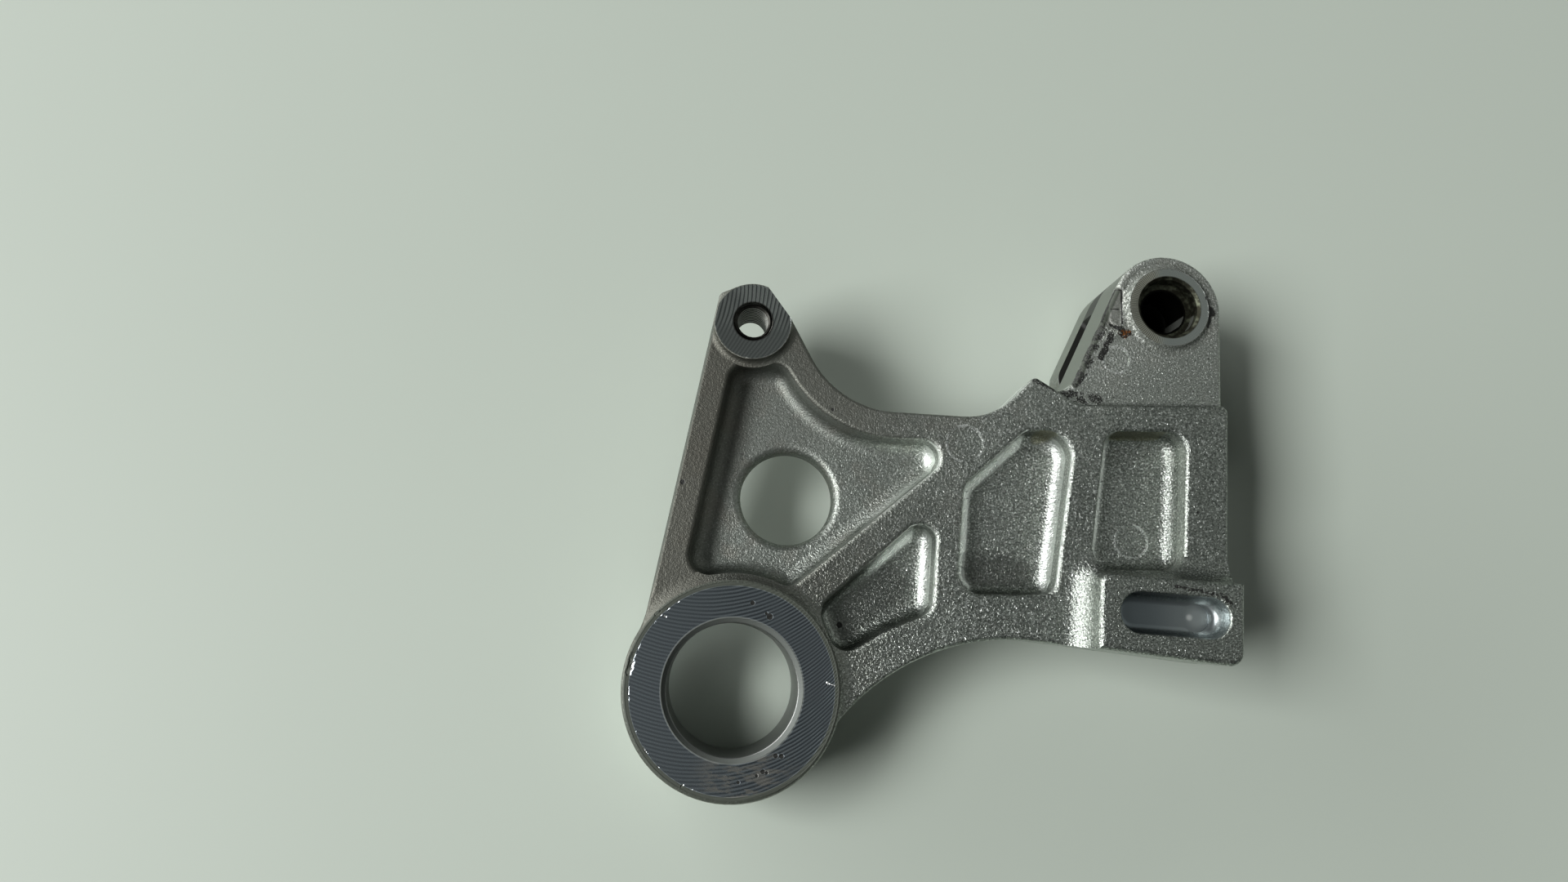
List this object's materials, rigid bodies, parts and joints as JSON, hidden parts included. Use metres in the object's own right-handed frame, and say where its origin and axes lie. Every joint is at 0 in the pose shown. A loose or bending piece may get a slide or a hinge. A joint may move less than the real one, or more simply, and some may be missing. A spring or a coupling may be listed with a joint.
{
  "type": "brake caliper bracket",
  "caption": "Flat cast bracket that rides on a rear axle by a ring and carries a sliding brake caliper: threaded boss, slide-pin ear with a disc slot, torque-stop block.",
  "frame": {"origin": "middle of the axle bore, on its axis", "axes": "+Z along the axle bore, out of the machined ring face; +X towards the slide pin and the torque-stop block; +Y towards the bolt boss. The brake disc turns about Z on the -Z side."},
  "size_m": [0.1382, 0.1233, 0.039],
  "materials": {
    "cast_aluminium": "shot-blasted casting with machined faces, worn"
  },
  "bodies": {
    "root": {"caliper_bracket": "cast_aluminium"}
  },
  "joints": []
}
